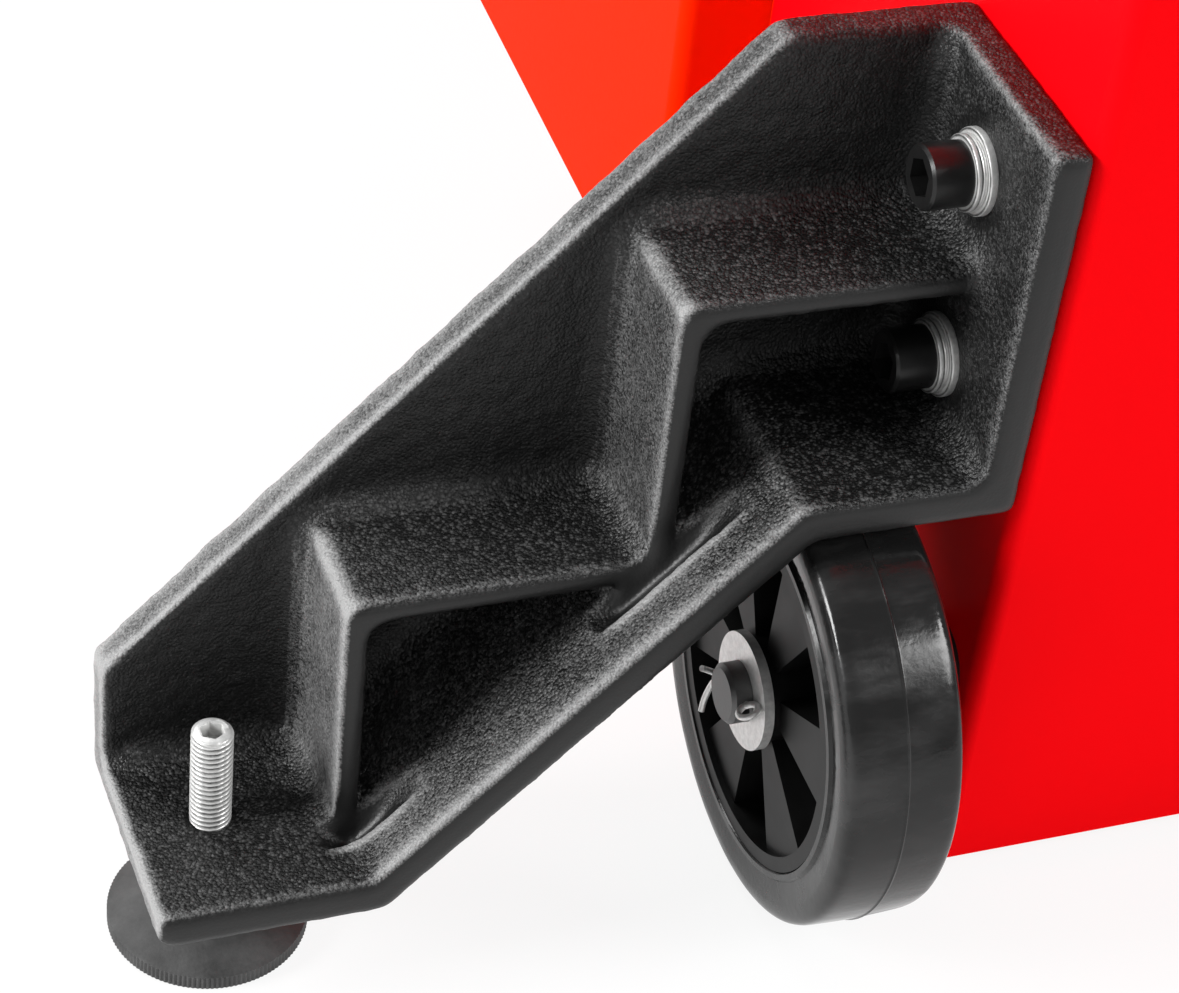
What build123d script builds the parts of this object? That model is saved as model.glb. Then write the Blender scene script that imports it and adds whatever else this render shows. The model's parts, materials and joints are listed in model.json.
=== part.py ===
from build123d import *
import math
import os

# Wheeled outrigger base of a jack: a red folded steel housing, two cast levelling legs and two wheels.
# Millimetres, +Z up, X across the base, +Y to the rear. Origin under the middle of the base, on the floor.
# The left half is modelled (X < 0) and mirrored for the right half.

# Cast leg, measured from the levelling stud's axis towards the housing (reach) and up from the floor
LEG_REACH = 215.0
LEG_FRONT = 37.5
LEG_BACK = 39.5
LEG_END = 25.3
LEG_TOP = 262.0
END_TOP = 75.5
TOP_KNEE = 157.0
SOLE_BOTTOM = 29.5
TOE = 41.7
LOWER_KNEE = 155.7
FLANGE_BOTTOM = 143.5
FLANGE_THICK = 11.0
LIP_THICK = 11.5
WEB_THICK = 12.0
RIB_THICK = 7.0
RIB_SETBACK = 24.0
RIB_SINK = 6.0
RISER_REACHES = (32.5, 118.5)
TREAD_TOPS = (123.0, 209.0)
DRAFT_ANGLE = 1.6
POCKET_RADIUS = 6.5
ROOT_RADIUS = 5.5
RIB_CORNER_RADIUS = 4.5
OUTLINE_RADIUS = 5.0
EDGE_RADIUS = 2.5

# M12 levelling foot
STUD_RADIUS = 6.0
STUD_TOP = 74.0
STUD_BOTTOM = 4.3
STUD_CHAMFER = 0.9
STUD_SOCKET_FLATS = 6.0
STUD_SOCKET_DEPTH = 6.0
FOOT_RADIUS = 29.0
FOOT_RIM = 5.2
FOOT_RIM_CHAMFERS = (0.6, 1.5)
FOOT_NECK_RADIUS = 11.0
FOOT_NECK_HEIGHT = 3.0
FOOT_TOP = 14.0
JAM_NUT_FLATS = 19.0
JAM_NUT_HEIGHT = 7.0
THREAD_CLEARANCE = 0.05

# M12 socket head bolts that hold the leg, with their washers as (radius, thickness)
BOLT_HEIGHTS = (173.0, 233.0)
BOLT_RADIUS = 6.0
BOLT_HEAD_RADIUS = 9.0
BOLT_HEAD_HEIGHT = 12.0
BOLT_HEAD_CHAMFER = 0.8
BOLT_SOCKET_FLATS = 10.0
BOLT_SOCKET_DEPTH = 6.0
BOLT_HOLE_RADIUS = 6.75
BOLT_TIP = 2.0
FLAT_WASHER = (12.0, 2.5)
SPRING_WASHER = (10.5, 3.0)
SPRING_GAP = 1.0
SPRING_GAP_ANGLE = 25.0
WASHER_BORE = 6.5

# Wheel on a dead axle
WHEEL_RADIUS = 70.2
WHEEL_CENTRE = 70.8
WHEEL_FORWARD = 15.4
WHEEL_FACE = 155.0
WHEEL_WIDTH = 35.5
TYRE_BORE = 53.5
TYRE_SHOULDER = 6.0
TYRE_CROWN = 1.0
RIM_WALL = 4.5
RIM_INSET = 0.5
HUB_WEB = 4.0
BOSS_RADIUS = 16.0
BOSS_INSET = 0.5
SPOKE_COUNT = 6
SPOKE_FIRST_ANGLE = 42.0
SPOKE_HALF_ANGLE = 15.0
SPOKE_INSET = 2.5
SPOKE_WALL = 3.5
SPOKE_HOLLOW_HALF_ANGLE = 9.0
BUSH_RADIUS = 12.0
BUSH_CLEARANCE = 0.02
AXLE_RADIUS = 9.0
AXLE_END = 146.0
AXLE_CHAMFER = 1.2
RUNNING_CLEARANCE = 0.05
LOOSE_CLEARANCE = 0.1
SIDE_CLEARANCE = 0.3
HUB_WASHER = (17.5, 3.0)
AXLE_TUBE_RADIUS = 14.0
PIN_RADIUS = 2.0
PIN_SETBACK = 3.2
PIN_EYE_RADIUS = 3.2
PIN_EYE_WIRE = 1.0
PIN_EYE_GAP = 0.7
PIN_LEG = 9.0
PIN_LEG_RADIUS = 1.4

# Folded sheet housing
SHEET = 3.0
BEND = 5.0
FRONT_HALF = 125.0
STEP = 29.5
SHELL_BOTTOM = 8.0
SHELL_TOP = 318.0
FRONT_DEPTH = 161.0
REAR_DEPTH = 380.0
REAR_EDGE_LOW = 73.0
REAR_EDGE_HIGH = 90.0
DECK_THICK = 6.0
DECK_PATTERN = (180.0, 130.0)
DECK_HOLE_RADIUS = 6.75
DECK_CORNER_RADIUS = 4.5
DECK_SCREW_INSET = 12.0
DECK_SCREW_RADIUS = 3.0
DECK_SCREW_LENGTH = 14.0
DECK_SCREW_HEAD = (6.0, 3.0)
DECK_SCREW_SINK = 0.2
SCREW_CLEARANCE = 0.2
TAB_SIZE = 16.0
TAB_THICK = 4.0
BACKING_THICK = 10.0
BACKING_WIDTH = 60.0
BACKING_MARGIN = 25.0
FLOOR_THICK = 4.0
GLIDE_RADIUS = 20.0
GLIDE_CHAMFER = 1.5
GLIDE_INSET = 45.0

# How far a cutting shape passes a face, and how far a joined shape sinks into its neighbour
OVERCUT = 1.0
SINK = 2.0

# Places worked out from the dimensions above
STUD_X = FRONT_HALF + LEG_REACH
LEG_Y = (WHEEL_FORWARD + WHEEL_RADIUS - REAR_DEPTH) / 2
WHEEL_Y = LEG_Y - WHEEL_FORWARD
FRONT_Y = LEG_Y - LEG_FRONT
SPLIT_Y = LEG_Y + FRONT_DEPTH
REAR_Y = LEG_Y + REAR_DEPTH
REAR_HALF = FRONT_HALF + STEP
SOLE_TOP = SOLE_BOTTOM + LIP_THICK
FLANGE_FACE = LEG_REACH - FLANGE_THICK
BOSS_START = WHEEL_FACE + BOSS_INSET
BOSS_END = WHEEL_FACE + WHEEL_WIDTH - BOSS_INSET
OUTER_WASHER_START = BOSS_START - SIDE_CLEARANCE - HUB_WASHER[1]
INNER_WASHER_START = BOSS_END + SIDE_CLEARANCE
PIN_REACH = AXLE_END + PIN_SETBACK
DECK_TOP = SHELL_TOP + DECK_THICK
DECK_CENTRE_Y = (FRONT_Y + SPLIT_Y) / 2
GLIDE_Y = SPLIT_Y - GLIDE_INSET


def reach(distance):
    """X of a point at this distance from the left stud towards the housing."""
    return distance - STUD_X


def rod_x(radius, start, end, y, z):
    """Round bar along X between two reaches."""
    middle = (reach(start) + reach(end)) / 2
    return Pos(middle, y, z) * Rot(0, 90, 0) * Cylinder(radius, end - start)


def ring_x(outer, inner, start, end, y, z):
    """Washer or tube along X between two reaches."""
    return rod_x(outer, start, end, y, z) - rod_x(inner, start - OVERCUT, end + OVERCUT, y, z)


def rod_z(radius, low, high, x, y):
    """Upright round bar between two heights."""
    return Pos(x, y, (low + high) / 2) * Cylinder(radius, high - low)


def hexagon(flats):
    """Hexagon outline by its size across flats."""
    return RegularPolygon(flats / 2, 6, major_radius=False)


def upright_slab(points, front, back, radii):
    """Extrude a side outline of (reach, height) points from front to back, rounding corners by index."""
    face = make_face(Polyline(*[(reach(u), z) for u, z in points], close=True))
    for index, radius in radii.items():
        place = Vector(reach(points[index][0]), points[index][1], 0)
        corner = min(face.vertices(), key=lambda v: (v.center() - place).length)
        face = fillet(corner, radius)
    return extrude(Plane((0, back, 0), x_dir=(1, 0, 0), z_dir=(0, -1, 0)) * face, back - front)


def edges_at(shape, y):
    """Edges that lie wholly in the upright plane at this Y."""
    return [e for e in shape.edges() if all(abs((e @ t).Y - y) < 0.02 for t in (0, 0.5, 1))]


def leg_block():
    """The leg's whole side outline as a solid block, leaning in towards the front at its end and top."""
    back = LEG_Y + LEG_BACK
    outline = [(-LEG_END, SOLE_BOTTOM), (-LEG_END, END_TOP), (TOP_KNEE, LEG_TOP), (LEG_REACH, LEG_TOP),
               (LEG_REACH, FLANGE_BOTTOM), (LOWER_KNEE, FLANGE_BOTTOM), (TOE, SOLE_BOTTOM)]
    block = upright_slab(outline, LEG_Y - LEG_FRONT, back, {})
    across = math.cos(math.radians(DRAFT_ANGLE))
    lean = math.sin(math.radians(DRAFT_ANGLE))
    end_face = Plane((reach(-LEG_END), back, 0), x_dir=(0, 0, 1), z_dir=(-across, -lean, 0))
    top_face = Plane((0, back, LEG_TOP), x_dir=(1, 0, 0), z_dir=(0, -lean, across))
    block = split(block, bisect_by=end_face, keep=Keep.BOTTOM)
    block = split(block, bisect_by=top_face, keep=Keep.BOTTOM)
    corners = [e for e in block.edges() if abs((e @ 0).Y - (e @ 1).Y) > LEG_FRONT]
    corners = [e for e in corners if e.center().X < reach(FLANGE_FACE)]
    return fillet(corners, OUTLINE_RADIUS)


def leg_pocket():
    """The open space above the sole and lower lip, in front of the web and outside the flange."""
    slope = math.atan((FLANGE_BOTTOM - SOLE_BOTTOM) / (LOWER_KNEE - TOE))
    lip_shift = LIP_THICK * math.tan(slope / 2)
    lip_top = FLANGE_BOTTOM + LIP_THICK
    outside = -LEG_END - OVERCUT
    above = LEG_TOP + OVERCUT
    outline = [(outside, SOLE_TOP), (outside, above), (FLANGE_FACE, above), (FLANGE_FACE, lip_top),
               (LOWER_KNEE - lip_shift, lip_top), (TOE - lip_shift, SOLE_TOP)]
    rounded = {corner: POCKET_RADIUS for corner in (3, 4, 5)}
    return upright_slab(outline, LEG_Y - LEG_FRONT - OVERCUT, LEG_Y + LEG_BACK - WEB_THICK, rounded)


def leg_rib():
    """Staircase rib of two risers and two treads, set back from the front and flared into sole and flange."""
    low_riser, high_riser = RISER_REACHES
    low_tread, high_tread = TREAD_TOPS
    low_under = low_tread - RIB_THICK
    high_under = high_tread - RIB_THICK
    inside = FLANGE_FACE + RIB_SINK
    flare = POCKET_RADIUS + 2 * EDGE_RADIUS
    outline = [(low_riser - flare, SOLE_TOP - RIB_SINK), (low_riser - flare, SOLE_TOP), (low_riser, SOLE_TOP),
               (low_riser, low_tread), (high_riser, low_tread), (high_riser, high_tread),
               (FLANGE_FACE, high_tread), (FLANGE_FACE, high_tread + flare), (inside, high_tread + flare),
               (inside, high_under - flare), (FLANGE_FACE, high_under - flare), (FLANGE_FACE, high_under),
               (high_riser + RIB_THICK, high_under), (high_riser + RIB_THICK, low_under),
               (low_riser + RIB_THICK, low_under), (low_riser + RIB_THICK, SOLE_TOP - RIB_SINK)]
    rounded = {corner: POCKET_RADIUS for corner in (2, 4, 6, 11, 12, 14)}
    rounded |= {corner: RIB_CORNER_RADIUS for corner in (3, 5)}
    rib_front = LEG_Y - LEG_FRONT + RIB_SETBACK
    rib = upright_slab(outline, rib_front, LEG_Y + LEG_BACK - WEB_THICK + RIB_SINK, rounded)
    return fillet(edges_at(rib, rib_front), EDGE_RADIUS)


def leg_casting():
    """Ribbed iron casting: back web, sole and lower lip, mounting flange and a staircase rib."""
    front = LEG_Y - LEG_FRONT
    back = LEG_Y + LEG_BACK
    web_front = back - WEB_THICK
    leg = leg_block() - leg_pocket() + leg_rib()
    top_edge = Polyline((reach(-LEG_END), web_front, SOLE_TOP), (reach(-LEG_END), web_front, END_TOP),
                        (reach(TOP_KNEE), web_front, LEG_TOP), (reach(LEG_REACH), web_front, LEG_TOP))
    roots = [e for e in edges_at(leg, web_front) if top_edge.distance_to(e @ 0.5) > 2 * EDGE_RADIUS]
    leg = fillet(roots, ROOT_RADIUS)
    leg = fillet(edges_at(leg, front), EDGE_RADIUS)
    leg = fillet(edges_at(leg, back), EDGE_RADIUS)
    leg -= rod_z(STUD_RADIUS + THREAD_CLEARANCE, SOLE_BOTTOM - OVERCUT, SOLE_TOP + OVERCUT, -STUD_X, LEG_Y)
    for height in BOLT_HEIGHTS:
        leg -= rod_x(BOLT_HOLE_RADIUS, FLANGE_FACE - OVERCUT, LEG_REACH + OVERCUT, LEG_Y, height)
    return leg


def leg_fasteners():
    """Two socket head bolts with a flat and a spring washer under each head."""
    flat_radius, flat_thick = FLAT_WASHER
    spring_radius, spring_thick = SPRING_WASHER
    flat_start = FLANGE_FACE - flat_thick
    spring_start = flat_start - spring_thick
    head_start = spring_start - BOLT_HEAD_HEIGHT
    tip = LEG_REACH + SHEET + BACKING_THICK + BOLT_TIP
    bolts, springs, flats = [], [], []
    for height in BOLT_HEIGHTS:
        head = rod_x(BOLT_HEAD_RADIUS, head_start, spring_start, LEG_Y, height)
        head = chamfer(head.edges().filter_by(GeomType.CIRCLE).sort_by(Axis.X)[0], BOLT_HEAD_CHAMFER)
        socket = extrude(hexagon(BOLT_SOCKET_FLATS), BOLT_SOCKET_DEPTH + OVERCUT)
        socket = Pos(reach(head_start - OVERCUT), LEG_Y, height) * Rot(0, 90, 0) * socket
        bolts.append(head - socket + rod_x(BOLT_RADIUS, spring_start - OVERCUT, tip, LEG_Y, height))
        spring = ring_x(spring_radius, WASHER_BORE, spring_start, flat_start, LEG_Y, height)
        gap = Rot(0, SPRING_GAP_ANGLE, 0) * Box(3 * spring_thick, spring_radius, SPRING_GAP)
        gap = Pos(reach((spring_start + flat_start) / 2), LEG_Y - spring_radius, height) * gap
        springs.append(spring - gap)
        flats.append(ring_x(flat_radius, WASHER_BORE, flat_start, FLANGE_FACE, LEG_Y, height))
    return bolts, springs, flats


def levelling_stud():
    """Plain M12 bar with chamfered tip and a hexagon socket in its top."""
    stud = rod_z(STUD_RADIUS, STUD_BOTTOM, STUD_TOP, -STUD_X, LEG_Y)
    stud = chamfer(stud.edges().filter_by(GeomType.CIRCLE).sort_by(Axis.Z)[-1], STUD_CHAMFER)
    socket = extrude(hexagon(STUD_SOCKET_FLATS), STUD_SOCKET_DEPTH + OVERCUT)
    return stud - Pos(-STUD_X, LEG_Y, STUD_TOP - STUD_SOCKET_DEPTH) * socket


def foot_disc():
    """Round pad: upright rim, coned top and a neck round the stud's blind socket."""
    under, over = FOOT_RIM_CHAMFERS
    neck_foot = FOOT_TOP - FOOT_NECK_HEIGHT
    outline = make_face(Polyline(
        (0, 0), (FOOT_RADIUS - under, 0), (FOOT_RADIUS, under), (FOOT_RADIUS, FOOT_RIM),
        (FOOT_RADIUS - over, FOOT_RIM + OVERCUT), (FOOT_NECK_RADIUS, neck_foot), (FOOT_NECK_RADIUS, FOOT_TOP),
        (0, FOOT_TOP), close=True))
    disc = revolve(Plane.XZ * outline, Axis.Z)
    disc -= rod_z(STUD_RADIUS + THREAD_CLEARANCE, STUD_BOTTOM - SIDE_CLEARANCE, FOOT_TOP + OVERCUT, 0, 0)
    return Pos(-STUD_X, LEG_Y, 0) * disc


def jam_nut():
    """Thin hexagon nut that locks the stud under the sole."""
    nut = extrude(hexagon(JAM_NUT_FLATS), JAM_NUT_HEIGHT)
    nut -= Cylinder(STUD_RADIUS + THREAD_CLEARANCE, 4 * JAM_NUT_HEIGHT)
    return Pos(-STUD_X, LEG_Y, SOLE_BOTTOM - JAM_NUT_HEIGHT) * nut


def wheel_place(shape):
    """Put a shape made about the Z axis, outer face at Z = 0, on the left axle with its face outwards."""
    return Pos(reach(WHEEL_FACE), WHEEL_Y, WHEEL_CENTRE) * Rot(0, 90, 0) * shape


def tyre():
    """Solid rubber tyre with rounded shoulders and a slightly crowned tread."""
    edge = WHEEL_RADIUS - TYRE_CROWN
    side = edge - TYRE_SHOULDER
    far = WHEEL_WIDTH - TYRE_SHOULDER
    bend = TYRE_SHOULDER * (1 - math.sqrt(0.5))
    outline = Line((TYRE_BORE, 0), (side, 0))
    outline += ThreePointArc((side, 0), (edge - bend, bend), (edge, TYRE_SHOULDER))
    outline += ThreePointArc((edge, TYRE_SHOULDER), (WHEEL_RADIUS, WHEEL_WIDTH / 2), (edge, far))
    outline += ThreePointArc((edge, far), (edge - bend, WHEEL_WIDTH - bend), (side, WHEEL_WIDTH))
    outline += Polyline((side, WHEEL_WIDTH), (TYRE_BORE, WHEEL_WIDTH), (TYRE_BORE, 0))
    return wheel_place(revolve(Plane.XZ * make_face(outline), Axis.Z))


def sector(inner, outer, half_angle, depth):
    """Ring sector about the Z axis and centred on the X axis, rising from Z = 0."""
    side = 2 * outer * math.tan(math.radians(half_angle))
    wedge = make_face(Polyline((0, 0), (2 * outer, -side), (2 * outer, side), close=True))
    return extrude(wedge & (Circle(outer) - Circle(inner)), depth)


def wheel_hub():
    """Moulded hub: rim, centre disc and boss, joined on the outside by broad flat spokes open at the back."""
    rim_outer = TYRE_BORE - RUNNING_CLEARANCE
    rim_inner = rim_outer - RIM_WALL
    middle = WHEEL_WIDTH / 2
    rim = Cylinder(rim_outer, WHEEL_WIDTH - 2 * RIM_INSET) - Cylinder(rim_inner, WHEEL_WIDTH)
    disc = Cylinder(rim_inner + SINK, HUB_WEB)
    boss = Cylinder(BOSS_RADIUS, BOSS_END - BOSS_START)
    hub = Pos(0, 0, middle) * (rim + disc + boss)
    spoke = sector(BOSS_RADIUS - SINK, rim_inner + SINK, SPOKE_HALF_ANGLE, middle - SPOKE_INSET)
    spoke = Pos(0, 0, SPOKE_INSET) * spoke
    hollow = sector(BOSS_RADIUS + SPOKE_WALL, rim_inner - SPOKE_WALL, SPOKE_HOLLOW_HALF_ANGLE, WHEEL_WIDTH)
    hollow = Pos(0, 0, SPOKE_INSET + SPOKE_WALL) * hollow
    turns = [Rot(0, 0, -SPOKE_FIRST_ANGLE - 360 * index / SPOKE_COUNT) for index in range(SPOKE_COUNT)]
    for turn in turns:
        hub += turn * spoke
    for turn in turns:
        hub -= turn * hollow
    return wheel_place(hub - Pos(0, 0, middle) * Cylinder(BUSH_RADIUS + BUSH_CLEARANCE, 2 * WHEEL_WIDTH))


def split_pin():
    """Split pin across the axle end: eye at the front, two legs opened up and down at the back."""
    x = reach(PIN_REACH)
    leg_y = AXLE_RADIUS + PIN_RADIUS
    eye_y = AXLE_RADIUS + PIN_EYE_RADIUS + PIN_EYE_GAP
    bar_front = eye_y - PIN_EYE_RADIUS
    bar = Pos(x, WHEEL_Y + (leg_y - bar_front) / 2, WHEEL_CENTRE)
    pin = bar * Rot(90, 0, 0) * Cylinder(PIN_RADIUS, leg_y + bar_front)
    pin += Pos(x, WHEEL_Y - eye_y, WHEEL_CENTRE) * Rot(0, 90, 0) * Torus(PIN_EYE_RADIUS, PIN_EYE_WIRE)
    for side in (1, -1):
        pin += Pos(x, WHEEL_Y + leg_y, WHEEL_CENTRE + side * PIN_LEG / 2) * Cylinder(PIN_LEG_RADIUS, PIN_LEG)
    return pin


def front_shell():
    """Folded front cover: front panel and both side panels, with bolt and axle tube holes."""
    depth = SPLIT_Y - FRONT_Y
    outer = Pos(0, DECK_CENTRE_Y) * Rectangle(2 * FRONT_HALF, depth)
    outer = fillet(outer.vertices().group_by(Axis.Y)[0], BEND)
    inner = Pos(0, DECK_CENTRE_Y + SHEET) * Rectangle(2 * (FRONT_HALF - SHEET), depth)
    inner = fillet(inner.vertices().group_by(Axis.Y)[0], BEND - SHEET)
    shell = Pos(0, 0, SHELL_BOTTOM) * extrude(outer - inner, SHELL_TOP - SHELL_BOTTOM)
    across = 2 * STUD_X
    for height in BOLT_HEIGHTS:
        shell -= rod_x(BOLT_HOLE_RADIUS, 0, across, LEG_Y, height)
    return shell - rod_x(AXLE_TUBE_RADIUS + RUNNING_CLEARANCE, 0, across, WHEEL_Y, WHEEL_CENTRE)


def rear_edge(y):
    """Height of the rear box's rising lower edge at this Y."""
    share = (y - SPLIT_Y) / (REAR_Y - SPLIT_Y)
    return REAR_EDGE_LOW + share * (REAR_EDGE_HIGH - REAR_EDGE_LOW)


def rear_wedge(rise, thick):
    """Slab that follows the lower edge, lifted by rise, as wide as the rear box."""
    low = rear_edge(SPLIT_Y) + rise
    high = rear_edge(REAR_Y) + rise
    corners = [(SPLIT_Y, low), (REAR_Y, high), (REAR_Y, high + thick), (SPLIT_Y, low + thick)]
    face = Plane.YZ * make_face(Polyline(*corners, close=True))
    return extrude(face, REAR_HALF, both=True)


def rear_shell():
    """Wider folded box behind the front cover, open to it, with a rising lower edge."""
    middle = (SPLIT_Y + REAR_Y) / 2
    depth = REAR_Y - SPLIT_Y
    outer = fillet((Pos(0, middle) * Rectangle(2 * REAR_HALF, depth)).vertices(), BEND)
    inner = Pos(0, middle) * Rectangle(2 * (REAR_HALF - SHEET), depth - 2 * SHEET)
    inner = fillet(inner.vertices(), BEND - SHEET)
    mouth = Pos(0, SPLIT_Y) * Rectangle(2 * (FRONT_HALF - SHEET), 4 * SHEET)
    shell = Pos(0, 0, REAR_EDGE_LOW) * extrude(outer - inner - mouth, SHELL_TOP - REAR_EDGE_LOW)
    return shell - rear_wedge(-2 * SHELL_TOP, 2 * SHELL_TOP)


def rear_floor():
    """Sloping closing plate inside the rear box, flush with its lower edge."""
    margin = SHEET + BEND
    room = Box(2 * (REAR_HALF - margin), REAR_Y - SPLIT_Y - 2 * margin, SHELL_TOP)
    return rear_wedge(0, SHEET) & Pos(0, (SPLIT_Y + REAR_Y) / 2, SHELL_TOP / 2) * room


def front_floor():
    """Base plate inside the front cover."""
    plate = Rectangle(2 * (FRONT_HALF - SHEET), SPLIT_Y - FRONT_Y - SHEET)
    plate = fillet(plate.vertices().group_by(Axis.Y)[0], BEND - SHEET)
    return Pos(0, DECK_CENTRE_Y + SHEET / 2, SHELL_BOTTOM) * extrude(plate, FLOOR_THICK)


def deck_screw_places():
    """Plan positions of the screws near the corners of both boxes."""
    corners = [(FRONT_HALF - DECK_SCREW_INSET, FRONT_Y + DECK_SCREW_INSET),
               (REAR_HALF - DECK_SCREW_INSET, SPLIT_Y + DECK_SCREW_INSET),
               (REAR_HALF - DECK_SCREW_INSET, REAR_Y - DECK_SCREW_INSET)]
    return [(side * x, y) for side in (-1, 1) for x, y in corners]


def deck_plate():
    """Top plate over both boxes, drilled for the column's bolts and countersunk for its own screws."""
    front = Pos(0, DECK_CENTRE_Y) * Rectangle(2 * FRONT_HALF, SPLIT_Y - FRONT_Y)
    rear = Pos(0, (SPLIT_Y + REAR_Y) / 2) * Rectangle(2 * REAR_HALF, REAR_Y - SPLIT_Y)
    plate = Pos(0, 0, SHELL_TOP) * extrude(front + rear, DECK_THICK)
    plate = fillet(plate.edges().filter_by(Axis.Z), DECK_CORNER_RADIUS)
    low = SHELL_TOP - OVERCUT
    high = DECK_TOP + OVERCUT
    for x in (-DECK_PATTERN[0] / 2, DECK_PATTERN[0] / 2):
        for y in (-DECK_PATTERN[1] / 2, DECK_PATTERN[1] / 2):
            plate -= rod_z(DECK_HOLE_RADIUS, low, high, x, DECK_CENTRE_Y + y)
    head_radius, head_height = DECK_SCREW_HEAD
    sunk_height = head_height + DECK_SCREW_SINK
    sunk_radius = head_radius + DECK_SCREW_SINK + SCREW_CLEARANCE
    countersink = Cone(DECK_SCREW_RADIUS + SCREW_CLEARANCE, sunk_radius, sunk_height)
    for x, y in deck_screw_places():
        plate -= rod_z(DECK_SCREW_RADIUS + SCREW_CLEARANCE, low, high, x, y)
        plate -= Pos(x, y, DECK_TOP - sunk_height / 2) * countersink
    return plate


def deck_screws():
    """Countersunk screws that hold the top plate, their heads just below its face."""
    radius, height = DECK_SCREW_HEAD
    top = DECK_TOP - DECK_SCREW_SINK
    screws = []
    for x, y in deck_screw_places():
        head = Pos(x, y, top - height / 2) * Cone(DECK_SCREW_RADIUS, radius, height)
        screws.append(head + rod_z(DECK_SCREW_RADIUS, top - DECK_SCREW_LENGTH, top - height, x, y))
    return screws


def deck_tabs():
    """Tabs inside the boxes that the top plate's screws thread into."""
    tabs = []
    for x, y in deck_screw_places():
        tab = Pos(x, y, SHELL_TOP - TAB_THICK / 2) * Box(TAB_SIZE, TAB_SIZE, TAB_THICK)
        tabs.append(tab - rod_z(DECK_SCREW_RADIUS + THREAD_CLEARANCE, 0, DECK_TOP, x, y))
    return tabs


def backing_plate():
    """Tapped plate inside the housing that the leg bolts thread into."""
    low = min(BOLT_HEIGHTS) - BACKING_MARGIN
    high = max(BOLT_HEIGHTS) + BACKING_MARGIN
    start = LEG_REACH + SHEET
    end = start + BACKING_THICK
    middle = Pos((reach(start) + reach(end)) / 2, LEG_Y, (low + high) / 2)
    plate = middle * Box(BACKING_THICK, BACKING_WIDTH, high - low)
    for height in BOLT_HEIGHTS:
        plate -= rod_x(BOLT_RADIUS + THREAD_CLEARANCE, start - OVERCUT, end + OVERCUT, LEG_Y, height)
    return plate


def rear_glide():
    """Low round glide under the back corner of the front cover."""
    glide = rod_z(GLIDE_RADIUS, 0, SHELL_BOTTOM, -(FRONT_HALF - GLIDE_INSET), GLIDE_Y)
    return chamfer(glide.edges().filter_by(GeomType.CIRCLE), GLIDE_CHAMFER)


def axle():
    """Dead axle from end to end of both wheels, chamfered and cross drilled for the split pins."""
    bar = rod_x(AXLE_RADIUS, AXLE_END, 2 * STUD_X - AXLE_END, WHEEL_Y, WHEEL_CENTRE)
    bar = chamfer(bar.edges().filter_by(GeomType.CIRCLE), AXLE_CHAMFER)
    drill = Rot(90, 0, 0) * Cylinder(PIN_RADIUS + THREAD_CLEARANCE, 4 * AXLE_RADIUS)
    for side in (1, -1):
        bar -= Pos(side * reach(PIN_REACH), WHEEL_Y, WHEEL_CENTRE) * drill
    return bar


def axle_washer(start):
    """Flat washer loose on the axle."""
    radius, thick = HUB_WASHER
    return ring_x(radius, AXLE_RADIUS + LOOSE_CLEARANCE, start, start + thick, WHEEL_Y, WHEEL_CENTRE)


def hub_bush():
    """Plain bearing pressed into the hub's boss."""
    return ring_x(BUSH_RADIUS, AXLE_RADIUS + RUNNING_CLEARANCE, BOSS_START, BOSS_END, WHEEL_Y, WHEEL_CENTRE)


def axle_tube():
    """Welded cross tube that carries the axle and spaces the wheels off the housing."""
    start = INNER_WASHER_START + HUB_WASHER[1]
    end = 2 * STUD_X - start
    return ring_x(AXLE_TUBE_RADIUS, AXLE_RADIUS + LOOSE_CLEARANCE, start, end, WHEEL_Y, WHEEL_CENTRE)


def left_pieces():
    """Every piece of the left side, by name. Groups of like fasteners are lists."""
    bolts, springs, flats = leg_fasteners()
    return {
        "leg_casting": leg_casting(),
        "leg_bolts": bolts,
        "spring_washers": springs,
        "flat_washers": flats,
        "backing_plate": backing_plate(),
        "level_stud": levelling_stud(),
        "foot_disc": foot_disc(),
        "jam_nut": jam_nut(),
        "tyre": tyre(),
        "wheel_hub": wheel_hub(),
        "hub_bush": hub_bush(),
        "outer_washer": axle_washer(OUTER_WASHER_START),
        "inner_washer": axle_washer(INNER_WASHER_START),
        "split_pin": split_pin(),
        "rear_glide": rear_glide(),
    }


def centre_pieces():
    """Every piece on the middle line, by name."""
    return {
        "front_shell": front_shell(),
        "rear_shell": rear_shell(),
        "front_floor": front_floor(),
        "rear_floor": rear_floor(),
        "deck_plate": deck_plate(),
        "deck_screws": deck_screws(),
        "deck_tabs": deck_tabs(),
        "axle_tube": axle_tube(),
        "axle": axle(),
    }


def write(name, shape):
    """Export one piece, or a group of like pieces as one compound."""
    items = shape if isinstance(shape, list) else [shape]
    group = [solid for item in items for solid in item.solids()]
    export_step(Compound(children=group) if len(group) > 1 else group[0], f"parts/{name}.step")


def main():
    os.makedirs("parts", exist_ok=True)
    for name, shape in centre_pieces().items():
        write(name, shape)
    for name, shape in left_pieces().items():
        write(f"left_{name}", shape)
        items = shape if isinstance(shape, list) else [shape]
        write(f"right_{name}", [mirror(item, about=Plane.YZ) for item in items])


if __name__ == "__main__":
    main()
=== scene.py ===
"""Looks of a wheeled jack base: worn black castings, threaded feet, solid tyres and a red housing."""

import json
import math

import bmesh
import bpy
import numpy as np
from bpy.props import FloatProperty, FloatVectorProperty, IntProperty, PointerProperty
from mathutils import Matrix, Vector


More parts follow.
